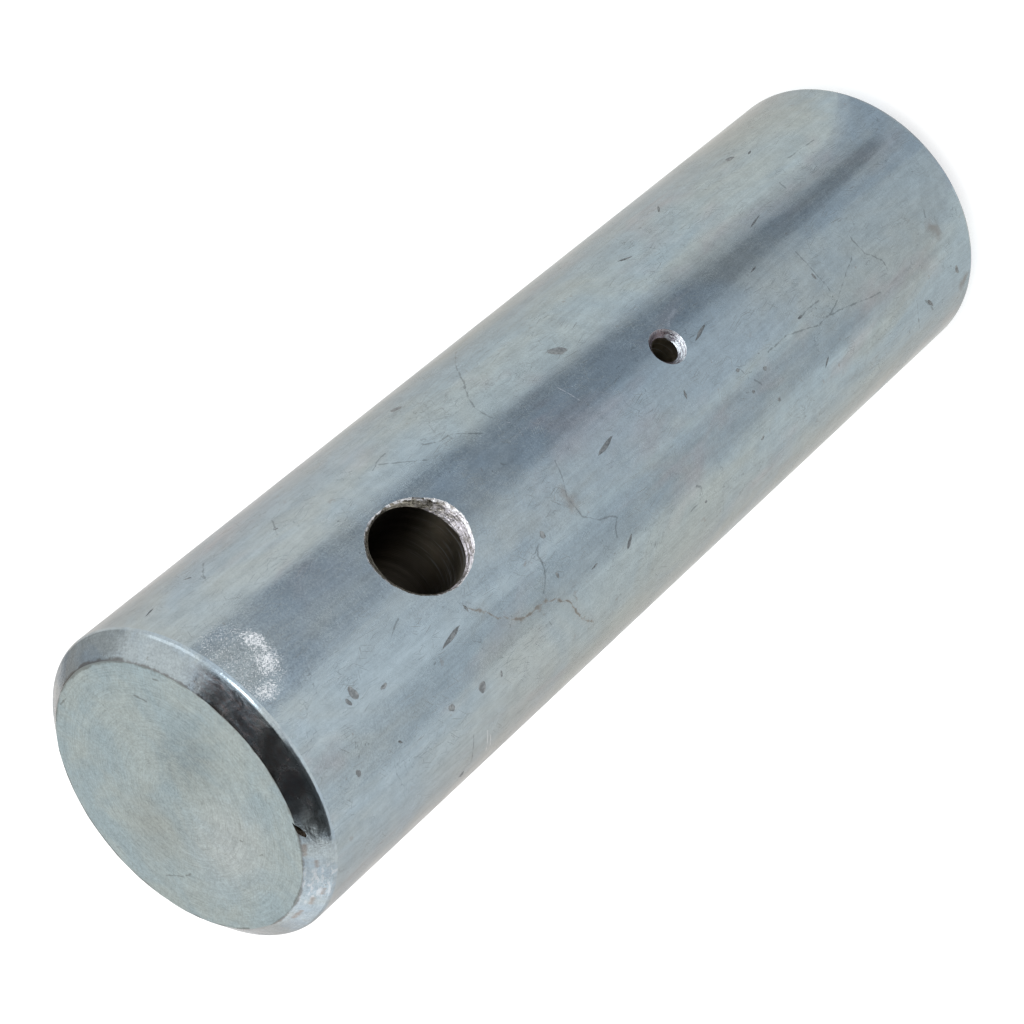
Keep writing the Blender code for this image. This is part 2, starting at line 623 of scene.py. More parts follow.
def nearStrokes(tree, wall, strokes):
    # the distance in mm to the nearest stroke
    nearest = None
    for stroke in strokes:
        for start, end in zip(stroke, stroke[1:]):
            span = (end[0] - start[0], end[1] - start[1], 0)
            length = math.hypot(*span)
            slope = tuple(part / length ** 2 for part in span)
            offset = arrow(tree, "SUBTRACT", wall, (*start, 0))
            share = addNode(tree, "Clamp", {0: measure(tree, "DOT_PRODUCT", offset, slope)}).outputs[0]
            reach = measure(tree, "DISTANCE", offset, scaled(tree, span, share))
            nearest = reckon(tree, "MINIMUM", nearest, reach) if nearest else reach
    return nearest


def showStrokes(tree, wall, breaks, marks):
    # how strongly strokes show, with edges that noise makes ragged and gaps where it breaks them
    off = total(tree, nearStrokes(tree, wall, marks["strokes"]), fade(tree, breaks, *marks["ragged"]))
    return fade(tree, off, *marks["edge"], 0, marks["strength"])


def flattened(tree, place):
    return arrow(tree, "MULTIPLY", place, (1, 1, 0))


def onTop(tree, place):
    # x and y, with just enough height to keep marks on the top end off the bottom end
    flatness = 0.02
    sockets = {"Vector": place, "Location": (0, 0, -flatness * pinHeight / mm), "Scale": (1, 1, flatness)}
    return addNode(tree, "Mapping", sockets).outputs[0]


def patch(tree, wall, centre, size, lean=0, soft=0.5):
    # 1 inside an oval on the wall, fading to 0 at its edge
    sockets = {"Vector": wall, "Location": (*centre, 0), "Scale": (*size, 1)}
    sockets["Rotation"] = (0, 0, math.radians(lean))
    local = addNode(tree, "Mapping", sockets, vector_type="TEXTURE").outputs[0]
    return fade(tree, measure(tree, "LENGTH", flattened(tree, local)), 1, 1 - soft)


# marks on the wall, as strokes of around and down in mm: "edge" is how far from a stroke it starts to show
# and how far it is at full strength, and "ragged" is the noise that is added to that distance
veins = {
    "colour": (0.235, 0.205, 0.175),
    "core": (0.12, 0.105, 0.09),
    "strokes": [
        [
            (-9.9, 36.2), (-11.2, 37.7), (-13.4, 39.8), (-14.9, 41.6), (-15.9, 43.4), (-16.3, 46.0),
            (-16.5, 48.6), (-17.6, 50.6), (-18.6, 52.2), (-20.0, 53.3), (-21.6, 54.0), (-23.5, 55.2),
            (-25.0, 57.0),
        ],
    ],
}

smudges = {
    "colour": (0.235, 0.212, 0.195),
    "edge": (1.7, -0.3),
    "ragged": (0.3, 0.7, -0.2, 0.4),
    "strength": 0.65,
    "strokes": [
        [(-12.9, 148.5), (-14.7, 149.9)],
        [(-25.8, 154.8), (-25.2, 155.4)],
        [(-8.9, 60.1), (-6.9, 59.8)],
    ],
}

hairs = {
    "colour": (0.12, 0.14, 0.15),
    "edge": (0.16, 0.02),
    "ragged": (0.35, 0.65, -0.06, 0.08),
    "strength": 0.52,
    "strokes": [
        [
            (5.8, 61.5), (7.5, 61.0), (9.8, 61.2), (12.0, 62.8), (14.5, 65.3), (18.0, 68.3), (20.5, 71.0),
            (22.5, 73.5),
        ],
        [
            (-8.2, 59.9), (-10.9, 60.5), (-12.9, 63.0), (-13.5, 65.0), (-14.2, 66.0), (-15.2, 65.0),
            (-16.5, 64.7),
        ],
        [
            (-10.9, 105.5), (-10.9, 110.5), (-12.8, 116.8), (-12.9, 120.5), (-11.8, 123.5), (-10.2, 126.5),
            (-8.6, 130.2),
        ],
        [(-12.7, 119.2), (-13.7, 124.4), (-15.2, 130.2), (-15.6, 132.5)],
        [(-6.1, 132.2), (-9.4, 132.8), (-12.0, 135.6), (-13.8, 135.8)],
        [(-10.1, 119.6), (-10.0, 116.4), (-10.3, 114.2)],
        [(-21.3, 141.0), (-24.5, 141.4), (-26.9, 142.2)],
        [(-22.6, 143.4), (-25.7, 146.0)],
        [(-10.5, 149.0), (-11.4, 148.4)],
        [(6.7, 131.2), (5.2, 130.6)],
        [(-9.6, 99.0), (-11.2, 99.4), (-11.5, 100.8)],
        [(-12.7, 100.6), (-13.8, 101.6)],
        [(-13.2, 98.0), (-13.6, 98.8)],
        [(10.5, 51.0), (9.2, 53.0), (9.2, 54.8), (6.0, 57.8)],
        [(-21.9, 80.5), (-21.8, 82.3), (-20.9, 83.4), (-19.6, 83.4), (-19.1, 82.5)],
        [(15.5, 14.1), (17.9, 15.8), (19.8, 18.0)],
        [(12.6, 43.0), (13.4, 45.5), (13.6, 47.0)],
        [(12.6, 44.5), (10.0, 47.0), (8.0, 49.0)],
        [(-6.4, 24.0), (-5.6, 25.3), (-5.2, 26.5)],
        [(9.0, 137.0), (8.5, 143.5)],
        [(-2.8, 121.6), (-8.2, 122.2), (-10.2, 122.6)],
        [(14.5, 26.2), (17.5, 28.8)],
        [(-30.5, 31.0), (-25.5, 30.6)],
        [(-7.5, 60.0), (-5.2, 61.4), (-3.0, 62.3)],
        [(-15.3, 48.6), (-14.0, 49.8), (-12.5, 50.6), (-10.9, 50.5), (-10.0, 51.2)],
        [(-10.6, 49.2), (-10.4, 50.3), (-9.7, 51.6)],
    ],
}

brightHairs = {
    "colour": (0.8, 0.82, 0.84),
    "edge": (0.13, 0.03),
    "ragged": (0.4, 0.6, -0.02, 0.08),
    "strength": 0.5,
    "strokes": [
        [(3.4, 63.1), (5.3, 61.7)],
        [(1.0, 72.8), (4.2, 72.2)],
        [(-31.5, 34.5), (-27.0, 33.7)],
        [(-31.0, 35.2), (-28.5, 34.6)],
    ],
}

smear = {
    "colour": (0.62, 0.66, 0.69),
    "edge": (0.6, 0.2),
    "ragged": (0.3, 0.7, -0.1, 0.3),
    "strength": 0.4,
    "strokes": [[(1.0, 93.9), (1.6, 95.1), (2.0, 96.9)]],
}

# the rubbed patch near the top, partly painted glints: ovals given by their middle, their size and their lean
scuffAndPaintedGlints = {
    "colour": (0.90, 0.92, 0.94),
    "lobes": [((-1.5, 4.9), (1.9, 2.9), 20), ((1.2, 8.0), (2.3, 2.8), -30), ((4.2, 9.4), (3.2, 2.0), -10)],
    "field": ((3.6, 6.3), (8.2, 6.0), 0),
}


def makeZincWall():
    material, tree, shader, place = startMetal("zincWall")
    wall = unrolled(tree, place)[0]
    cloud = fade(tree, stretched(tree, place, (14, 14, 30), 4, 0.6, 0.6), 0.34, 0.7)
    rosy = fade(tree, stretched(tree, place, (9, 9, 22), 3, 0.6, 0.4), 0.54, 0.78, 0, 0.6)
    colour = tint(tree, cloud, zincTones["cool"], zincTones["warm"])
    colour = tint(tree, rosy, colour, zincTones["rosy"])

    streak = stretched(tree, wall, (0.5, 9, 1), 3, 0.55)
    drawn = stretched(tree, wall, (2.2, 30, 1), 3, 0.6)
    mottle = blotch(tree, place, 2.2, 4, 0.65)
    grain = blotch(tree, place, 0.28, 2, 0.6)
    shade = total(
        tree,
        fade(tree, streak, 0.25, 0.75, 0.94, 1.06),
        fade(tree, drawn, 0.25, 0.75, -0.05, 0.05),
        swing(tree, mottle, 0.06),
        fade(tree, grain, 0.25, 0.75, -0.07, 0.07),
    )
    colour = shaded(tree, colour, shade)

    # specks and short random scratches all over
    specks = fade(tree, blotch(tree, place, 1.3, 2, 0.5), 0.68, 0.76, 0, 0.45)
    gather = fade(tree, blotch(tree, place, 11, 2, 0.5), 0.45, 0.62)
    colour = tint(tree, times(tree, specks, gather), colour, zincTones["speck"])
    scratches = None
    for lean, low in ((8, 0.68), (-14, 0.69), (33, 0.71), (52, 0.71), (-60, 0.72)):
        lines = stretched(tree, wall, (0.12, 3.6, 1), 1, 0.4, lean=lean)
        lines = fade(tree, lines, low, low + 0.03)
        scratches = reckon(tree, "MAXIMUM", scratches, lines) if scratches else lines
    scratches = times(tree, scratches, fade(tree, blotch(tree, place, 7, 2), 0.42, 0.6, 0.25, 0.95))
    colour = tint(tree, scratches, colour, zincTones["scratch"])

    # hairline marks that wander, in places only
    line = reckon(tree, "ABSOLUTE", reckon(tree, "SUBTRACT", blotch(tree, place, 9, 4, 0.62, 0.3), 0.5))
    line = fade(tree, line, 0.0035, 0.0008, 0, 0.5)
    line = times(tree, line, fade(tree, blotch(tree, place, 5.5, 3, 0.6), 0.5, 0.6))
    colour = tint(tree, line, colour, hairs["colour"])

    # the placed strokes waver, as if a wandering hand had drawn them
    waver = {"Vector": place, "Scale": 0.55, "Detail": 3.0, "Roughness": 0.6}
    waver = addNode(tree, "TexNoise", waver).outputs["Color"]
    waver = arrow(tree, "SUBTRACT", waver, (0.5, 0.5, 0.5))
    waver = arrow(tree, "MULTIPLY", waver, (1.5, 1.5, 0))
    hand = arrow(tree, "ADD", wall, waver)
    breaks = blotch(tree, place, 1.1, 3, 0.6)
    smudge = showStrokes(tree, hand, breaks, smudges)
    colour = tint(tree, smudge, colour, smudges["colour"])
    vein = nearStrokes(tree, hand, veins["strokes"])
    halo = fade(tree, vein, 1.5, 0.1, 0, 0.12)
    core = total(tree, vein, spread(tree, breaks, -0.10, 0.16))
    vein = reckon(tree, "MAXIMUM", fade(tree, core, 0.29, 0.02, 0, 0.68), halo)
    colour = tint(tree, vein, colour, veins["colour"])
    colour = tint(tree, fade(tree, core, 0.10, -0.04, 0, 0.35), colour, veins["core"])
    steady = arrow(tree, "ADD", wall, scaled(tree, waver, 0.45))
    colour = tint(tree, showStrokes(tree, steady, breaks, hairs), colour, hairs["colour"])
    for marks in (brightHairs, smear):
        colour = tint(tree, showStrokes(tree, wall, breaks, marks), colour, marks["colour"])

    # the rubbed patch near the top, in bright speckled streaks that are partly painted glints
    ragged = arrow(tree, "ADD", wall, scaled(tree, waver, 1.6))
    rubbedAndPaintedGlints = None
    for centre, size, lean in scuffAndPaintedGlints["lobes"]:
        lobe = patch(tree, ragged, centre, size, lean, 0.9)
        rubbedAndPaintedGlints = reckon(tree, "MAXIMUM", rubbedAndPaintedGlints, lobe) if rubbedAndPaintedGlints else lobe
    field = patch(tree, ragged, *scuffAndPaintedGlints["field"], 0.4)
    cover = reckon(tree, "MULTIPLY_ADD", rubbedAndPaintedGlints, 0.44, times(tree, field, 0.38))
    first = stretched(tree, wall, (0.13, 0.6, 1), 3, 0.75, lean=38)
    second = stretched(tree, wall, (0.13, 0.5, 1), 3, 0.75, lean=-28)
    speckle = fade(tree, reckon(tree, "MAXIMUM", first, second), 0.38, 0.72)
    start = reckon(tree, "SUBTRACT", 1.0, cover)
    dustingAndPaintedGlints = times(tree, fade(tree, speckle, start, total(tree, start, 0.4)), field)
    colour = tint(tree, dustingAndPaintedGlints, colour, scuffAndPaintedGlints["colour"])

    low = zincTones["roughness"] - 0.03
    rough = total(
        tree,
        spread(tree, blotch(tree, place, 5, 3), low, low + 0.08),
        spread(tree, grain, -0.03, 0.04),
        times(tree, reckon(tree, "MAXIMUM", vein, smudge), 0.22),
        times(tree, dustingAndPaintedGlints, 0.3),
    )
    relief = reckon(tree, "MULTIPLY_ADD", streak, 0.5, times(tree, grain, 0.25))
    relief = reckon(tree, "MULTIPLY_ADD", scratches, -0.7, relief)
    dress(tree, shader, colour, rough, bump(tree, (relief, zincTones["relief"])))
    return material


# the turned chamfer, with patches and strokes given as x and y in mm, as on the end face
chamfer = {
    "cool": (0.345, 0.42, 0.48),
    "warm": (0.40, 0.455, 0.475),
    "roughness": 0.17,
    # a real stain with the chamfer's dark reflection painted in as well
    "stainAndPaintedReflection": (0.25, 0.19, 0.185),
    "stainAndPaintedReflectionPatch": ((-5.0, -20.5), (15, 6.5), -13, 0.5),
    # flaked plating with a painted highlight: bright streaks on one part of the chamfer
    "flakedAndPaintedHighlight": (0.62, 0.64, 0.66),
    "flakedAndPaintedHighlightPatch": ((-20.0, -5.5), (3.2, 6.5), -18, 0.6),
    "rust": (0.17, 0.14, 0.115),
    # the colour of the painted shade line along the end face's edge
    "line": (0.13, 0.12, 0.11),
    "shadeLinePatch": ((17.0, -6.5), (9, 11), 0, 0.6),  # where the painted shade line round the end face is thicker
    "marks": (0.26, 0.20, 0.16),
    "strokes": [
        [(-17.2, -10.0), (-16.5, -11.2)],
        [(-20.3, 2.6), (-20.6, 0.4)],
        [(-20.9, -1.6), (-20.8, -2.9)],
        [(-19.0, -8.6), (-18.6, -9.4)],
        [(-21.3, -4.0), (-21.2, -5.0)],
    ],
}


def paintedEdgeShade(tree, place, radius):
    # painted shade: a thin dark broken line where the chamfer meets the end face
    inner = (pinRadius - body["chamferWidth"]) / mm
    off = reckon(tree, "ABSOLUTE", reckon(tree, "SUBTRACT", radius, inner))
    off = total(tree, off, fade(tree, blotch(tree, place, 3.1, 5, 0.7), 0.35, 0.65, -0.10, 0.20))
    off = reckon(tree, "MULTIPLY_ADD", patch(tree, place, *chamfer["shadeLinePatch"]), -0.2, off)
    return fade(tree, off, 0.30, 0.02, 0, 0.7)


def makeZincChamfer():
    material, tree, shader, place = startMetal("zincChamfer")
    turned, radius = unrolled(tree, place)[1:]
    cloud = fade(tree, blotch(tree, place, 6, 4, 0.6, 0.5), 0.35, 0.65)
    colour = tint(tree, cloud, chamfer["cool"], chamfer["warm"])
    rings = stretched(tree, turned, (7, 0.22, 1), 3, 0.6)
    ripple = stretched(tree, turned, (3.0, 1.6, 1), 3, 0.55, 0.8)
    grain = blotch(tree, place, 0.3, 2, 0.6)
    mottle = swing(tree, blotch(tree, place, 1.6, 4, 0.7), 0.09)
    shade = total(tree, spread(tree, rings, 0.95, 1.05), swing(tree, grain, 0.09), mottle)
    colour = shaded(tree, colour, shade)

    # partly a real stain and partly painted reflection: the chamfer is darkened where it shows the dark flag
    # board
    stainAndPaintedReflection = patch(tree, place, *chamfer["stainAndPaintedReflectionPatch"])
    stainAndPaintedReflectionMask = spread(tree, stretched(tree, turned, (1.1, 0.3, 1), 4, 0.75))
    stainAndPaintedReflectionMask = times(tree, stainAndPaintedReflection, stainAndPaintedReflectionMask, fade(tree, radius, 22.1, 21.7))
    colour = tint(tree, times(tree, stainAndPaintedReflectionMask, 0.8), colour, chamfer["stainAndPaintedReflection"])
    # partly flaked plating and partly a painted highlight: bright streaks painted into the chamfer's colour
    wornAndPaintedHighlight = patch(tree, place, *chamfer["flakedAndPaintedHighlightPatch"])
    flakedAndPaintedHighlight = fade(tree, stretched(tree, turned, (1.6, 0.4, 1), 3, 0.65, 0.6), 0.5, 0.6)
    colour = tint(tree, times(tree, wornAndPaintedHighlight, flakedAndPaintedHighlight, 0.55), colour, chamfer["flakedAndPaintedHighlight"])
    rust = fade(tree, blotch(tree, place, 1.3, 3, 0.6), 0.66, 0.76, 0, 0.55)
    colour = tint(tree, rust, colour, chamfer["rust"])
    strokes = total(tree, nearStrokes(tree, onTop(tree, place), chamfer["strokes"]), mottle)
    colour = tint(tree, fade(tree, strokes, 0.42, 0.02, 0, 0.55), colour, chamfer["marks"])
    # painted shade along the edge where the chamfer meets the end face
    colour = tint(tree, paintedEdgeShade(tree, place, radius), colour, chamfer["line"])

    low = chamfer["roughness"] - 0.04
    rough = spread(tree, ripple, low, low + 0.12)
    rough = total(tree, rough, times(tree, rust, 0.4), times(tree, stainAndPaintedReflectionMask, 0.07))
    dress(tree, shader, colour, rough, bump(tree, (ripple, 0.055), (rings, 0.006), (grain, 0.006)))
    return material


endFace = {
    "cool": (0.368, 0.449, 0.472),
    "warm": (0.417, 0.475, 0.468),
    "roughness": 0.42,
    # painted reflection: darker sectors below and above the middle, and a painted highlight on the left
    "paintedReflectionLowerPatch": ((1.2, -7.5), (7, 11), 0, 1),
    "paintedReflectionUpper": (0.375, 0.395, 0.365),
    "paintedReflectionUpperPatch": ((0.5, 8.0), (8, 9), 0, 1),
    "paintedFaceHighlight": (0.53, 0.555, 0.545),
    "paintedFaceHighlightPatch": ((-9.0, 0.0), (9, 14), 0, 1),
    "marks": (0.17, 0.18, 0.17),
    "rust": (0.26, 0.21, 0.17),
    "edge": (0.21, 0.04),
    "ragged": (0.35, 0.65, -0.05, 0.09),
    "strength": 0.6,
    "strokes": [
        [(-6.6, 10.4), (-6.2, 11.6)],
        [(-5.9, 12.2), (-4.9, 13.4), (-4.0, 14.7)],
        [(9.3, -10.7), (11.0, -9.9)],
        [(-12.9, -3.9), (-12.7, -3.4)],
        [(-9.9, -3.0), (-9.6, -2.8)],
        [(18.6, 1.2), (18.9, 3.0)],
        [(9.2, -15.8), (9.9, -15.2)],
    ],
}


def makeZincFace():
    material, tree, shader, place = startMetal("zincFace")
    turned, radius = unrolled(tree, place)[1:]
    cloud = fade(tree, blotch(tree, place, 9, 4, 0.6, 0.7), 0.36, 0.64)
    colour = tint(tree, cloud, endFace["cool"], endFace["warm"])
    # painted reflection of the turned face: darker below and above the middle, a painted highlight on the
    # left
    paintedReflectionLower = patch(tree, place, *endFace["paintedReflectionLowerPatch"])
    paintedReflectionUpper = patch(tree, place, *endFace["paintedReflectionUpperPatch"])
    paintedFaceHighlight = patch(tree, place, *endFace["paintedFaceHighlightPatch"])
    colour = tint(tree, times(tree, paintedReflectionUpper, 0.5), colour, endFace["paintedReflectionUpper"])
    colour = tint(tree, times(tree, paintedFaceHighlight, 0.5), colour, endFace["paintedFaceHighlight"])
    arcs = stretched(tree, turned, (9, 0.2, 1), 3, 0.65)
    broad = stretched(tree, turned, (24, 1.3, 1), 2, 0.5)
    grain = blotch(tree, place, 0.26, 2, 0.6)
    mottle = blotch(tree, place, 1.1, 4, 0.7)
    shade = total(
        tree,
        reckon(tree, "MULTIPLY_ADD", paintedReflectionLower, -0.20, reckon(tree, "MULTIPLY_ADD", paintedReflectionUpper, -0.05, 1.02)),
        swing(tree, arcs, 0.09),
        swing(tree, broad, 0.03),
        swing(tree, grain, 0.10),
        swing(tree, mottle, 0.09),
    )
    colour = shaded(tree, colour, shade)

    # scores along and across the turning, the placed ones, and the painted shade line at the rim
    marks = fade(tree, stretched(tree, turned, (2.5, 0.16, 1), 2, 0.6), 0.64, 0.72, 0, 0.45)
    marks = times(tree, marks, fade(tree, blotch(tree, place, 6, 2), 0.42, 0.56, 0.1, 1))
    for lean, low in ((25, 0.66), (-50, 0.68), (80, 0.68)):
        lines = stretched(tree, place, (0.10, 2.2, 1), 1, 0.4, lean=lean)
        marks = reckon(tree, "MAXIMUM", marks, fade(tree, lines, low, low + 0.04, 0, 0.38))
    marks = reckon(tree, "MAXIMUM", marks, showStrokes(tree, onTop(tree, place), mottle, endFace))
    marks = reckon(tree, "MAXIMUM", marks, paintedEdgeShade(tree, place, radius))
    colour = tint(tree, marks, colour, endFace["marks"])
    rust = fade(tree, blotch(tree, place, 1.1, 3, 0.6), 0.72, 0.8, 0, 0.5)
    rim = fade(tree, radius, 16.5, 19.3, 0.25, 1)
    colour = tint(tree, times(tree, rust, rim), colour, endFace["rust"])

    low = endFace["roughness"] - 0.04
    rough = spread(tree, mottle, low, low + 0.10)
    dress(tree, shader, colour, rough, bump(tree, (arcs, 0.012), (broad, 0.02), (grain, 0.012)))
    return material


# light and shade are painted into the countersinks' colours, by side
# the countersinks: "lit" is the side towards -X and down the pin, "shady" is opposite, and "dark" fills rings
boltTones = {
    "lit": (0.68, 0.66, 0.72),
    "shady": (0.36, 0.34, 0.285),
    "dark": (0.15, 0.14, 0.12),
    "rimShine": 0.9,
}

greaseTones = {
    "lit": (0.84, 0.93, 1.00),
    "shady": (0.19, 0.155, 0.165),
    "dark": (0.22, 0.21, 0.25),
    "rimShine": 0.2,
}


def makeBareCone(name, hole, tones):
    # the bright countersink of a cross hole, with tool rings about the hole's own axis and painted light and
    # shade by side
    material, tree, shader, place = startMetal(name)
    axes = addNode(tree, "SeparateXYZ", {0: place})
    outer = pinRadius / mm
    side = reckon(tree, "SUBTRACT", axes.outputs[0], outer * math.sin(math.radians(hole["turn"])))
    rise = reckon(tree, "SUBTRACT", axes.outputs[2], (pinHeight - hole["down"]) / mm)
    angle = reckon(tree, "ARCTAN2", side, rise)
    flat = pair(tree, side, rise)
    reach = measure(tree, "LENGTH", flat)
    around = times(tree, angle, hole["radius"] / mm)
    ringed = pair(tree, around, reach)
    rings = stretched(tree, ringed, (2.6, 0.16, 1), 3, 0.65)
    torn = stretched(tree, ringed, (0.7, 0.35, 1), 3, 0.6)
    # painted light and shade: the side facing -X and down the pin is coloured lit, the other side shady
    paintedLightSide = reckon(tree, "DIVIDE", measure(tree, "DOT_PRODUCT", flat, (-0.64, -0.77, 0)), reach)
    paintedLightSide = total(tree, paintedLightSide, swing(tree, torn, 0.3))
    colour = tint(tree, fade(tree, paintedLightSide, 0.12, 0.85), tones["shady"], tones["lit"])
    colour = tint(tree, fade(tree, rings, 0.42, 0.62, 0, 0.85), colour, tones["dark"])
    pits = fade(tree, blotch(tree, place, 0.35, 2, 0.6), 0.52, 0.66, 0, 0.7)
    colour = tint(tree, pits, colour, tones["dark"])
    radius = measure(tree, "LENGTH", flattened(tree, place))
    chipped = total(tree, radius, fade(tree, torn, 0.35, 0.6, -0.25, 0.15))
    rim = fade(tree, chipped, outer - 0.28, outer - 0.10, 0, tones["rimShine"])
    colour = tint(tree, rim, colour, (0.88, 0.89, 0.92))
    rough = spread(tree, torn, 0.2, 0.4)
    relief = reckon(tree, "MULTIPLY_ADD", rings, 0.8, times(tree, torn, 0.9))
    dress(tree, shader, colour, rough, bump(tree, (relief, 0.12)))
    return material


def makeBareBore(name, hole, colour):
    # drilled steel with rings about its own axis; a cross hole is darkened inside by painted shade
    def toned(share):
        return [min(part * share, 0.9) for part in colour]

    material, tree, shader, place = startMetal(name)
    depth = addNode(tree, "SeparateXYZ", {0: place}).outputs[1 if hole else 2]
    squeeze = (0.12, 2.2, 0.12) if hole else (0.12, 0.12, 5)
    ringed = addNode(tree, "Mapping", {"Vector": place, "Scale": squeeze}).outputs[0]
    rings = blotch(tree, ringed, 1, 3, 0.7)
    soot = fade(tree, blotch(tree, place, 4, 3), 0.35, 0.65)
    shade = tint(tree, soot, colour, toned(0.7))
    shade = tint(tree, fade(tree, rings, 0.54, 0.66, 0, 0.9), shade, toned(2.4))
    if hole:
        # painted shade: light near its mouths on the side towards -X and down the pin, dark deeper in and
        # opposite
        lit = measure(tree, "DOT_PRODUCT", place, (-0.74, 0, -0.67))
        lit = total(tree, lit, 0.67 * (pinHeight - hole["down"]) / mm)
        paintedBoreLight = fade(tree, reckon(tree, "ABSOLUTE", depth), 5, 20)
        paintedBoreLight = times(tree, paintedBoreLight, fade(tree, lit, -1, 6.5))
        shade = tint(tree, fade(tree, paintedBoreLight, 0, 1, 0.97, 0), shade, toned(0.1))
    rough = spread(tree, rings, 0.3, 0.48)
    wave = reckon(tree, "SINE", times(tree, depth, math.tau / 0.35))
    dress(tree, shader, shade, rough, bump(tree, (rings, 0.03), (wave, 0.004)))
    return material


def makeDentMetal(name, light, dark):
    material, tree, shader, place = startMetal(name)
    cloud = fade(tree, blotch(tree, place, 0.55, 4, 0.7), 0.36, 0.6)
    grain = blotch(tree, place, 0.12, 2, 0.6)
    colour = tint(tree, cloud, light, dark)
    rough = spread(tree, grain, 0.35, 0.6)
    dress(tree, shader, colour, rough, bump(tree, (grain, 0.012)))
    return material


zincWall = makeZincWall()
zincChamfer = makeZincChamfer()
zincFace = makeZincFace()
boltCone = makeBareCone("boltCone", boltHole, boltTones)
greaseCone = makeBareCone("greaseCone", greaseHole, greaseTones)
drilledBore = makeBareBore("drilledBore", boltHole, (0.62, 0.57, 0.47))
drilledPort = makeBareBore("drilledPort", None, (0.25, 0.25, 0.24))
nickMetal = makeDentMetal("nickMetal", (0.27, 0.29, 0.30), (0.15, 0.165, 0.175))
pitMetal = makeDentMetal("pitMetal", (0.33, 0.355, 0.365), (0.20, 0.215, 0.225))
rustMetal = makeDentMetal("rustMetal", (0.09, 0.075, 0.06), (0.025, 0.02, 0.015))
print("materials made")

pin = makeBar()
for material in (zincWall, zincChamfer, zincFace, drilledPort):
    pin.data.materials.append(material)
for face in pin.data.polygons:
    corners = [pin.data.vertices[corner] for corner in face.vertices]
    slope = abs(face.normal.z)
    if max(fromAxis(corner) for corner in corners) < 8 * mm and corners[0].co.z < pinHeight / 2:
        face.material_index = 3
    elif slope > 0.99:
        face.material_index = 2
    elif slope > 0.02:
        face.material_index = 1
threadPort(pin, drilledPort)
drillBore(pin, boltHole, -pinRadius - 2 * mm, drilledBore)
drillBore(pin, greaseHole, 0, drilledBore)
sinkMouth(pin, boltHole, 1, boltCone)
sinkMouth(pin, boltHole, -1, boltCone)
sinkMouth(pin, greaseHole, 1, greaseCone)
print("holes drilled")

nicks = knocks["nicks"] + backMarks(knocks["backNicks"], (1.5, 5), (0.35, 0.7), knocks["seed"])
pits = knocks["pits"] + backMarks(knocks["backPits"], (0.6, 1.8), (0.4, 0.9), knocks["seed"] + 1)
knockWall(pin, nicks, knocks["nickDepth"], True, nickMetal)
knockWall(pin, pits, knocks["pitDepth"], False, pitMetal)
gougeEdge(pin, rustMetal)
print("knocks made")


def smoothPin(piece):
    # crisp at every change of finish, and truly round on the wall
    select(piece)
    bpy.ops.object.shade_smooth_by_angle(angle=math.radians(body["crispAngle"]))
    mesh = piece.data
    names = [slot.name for slot in mesh.materials]
    zinc = {names.index("zincWall"), names.index("zincChamfer")}
    finishes = {}
    for face in mesh.polygons:
        for key in face.edge_keys:
            finishes.setdefault(key, set()).add(face.material_index)
    for edge in mesh.edges:
        found = finishes.get(edge.key, set())
        if len(found) > 1 and not found <= zinc:
            edge.use_edge_sharp = True
    normals = [(0.0, 0.0, 0.0)] * len(mesh.loops)
    for face in mesh.polygons:
        if face.material_index not in zinc or abs(face.normal.z) > 0.5:
            continue
        for loop in face.loop_indices:
            spot = mesh.vertices[mesh.loops[loop].vertex_index]
            reach = fromAxis(spot)
            if reach > pinRadius - 0.003 * mm:
                normals[loop] = (spot.co.x / reach, spot.co.y / reach, 0.0)
    mesh.normals_split_custom_set(normals)


smoothPin(pin)
print("pin made,", len(pin.data.polygons), "faces")

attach(pin, "root")
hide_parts("pivot_pin")

studio = {
    "floorSize": 6.0,
    "floorColour": (0.8, 0.8, 0.8, 1),
    "floorGlow": 0.45,        # as the camera sees it
    "floorMirrored": 0.22,    # as the metal sees it
    "cameraPlace": (-0.05992, -0.33080, 0.36981),
    "cameraTurn": (-38.160, 35.572, -153.685),
    "cameraLens": 113.14,
    "softboxSize": 0.35,
    "softboxPower": 1.6,
    "softboxPlace": (0.20, -0.88, 0.52),
    "greyNear": 70 * mm,      # where a card's grey starts to change, and where it is done
    "greyFar": 210 * mm,
}


def circle(radius, count):
    turns = [step * math.tau / count for step in range(count)]
    return [(radius * math.cos(turn), radius * math.sin(turn)) for turn in turns]


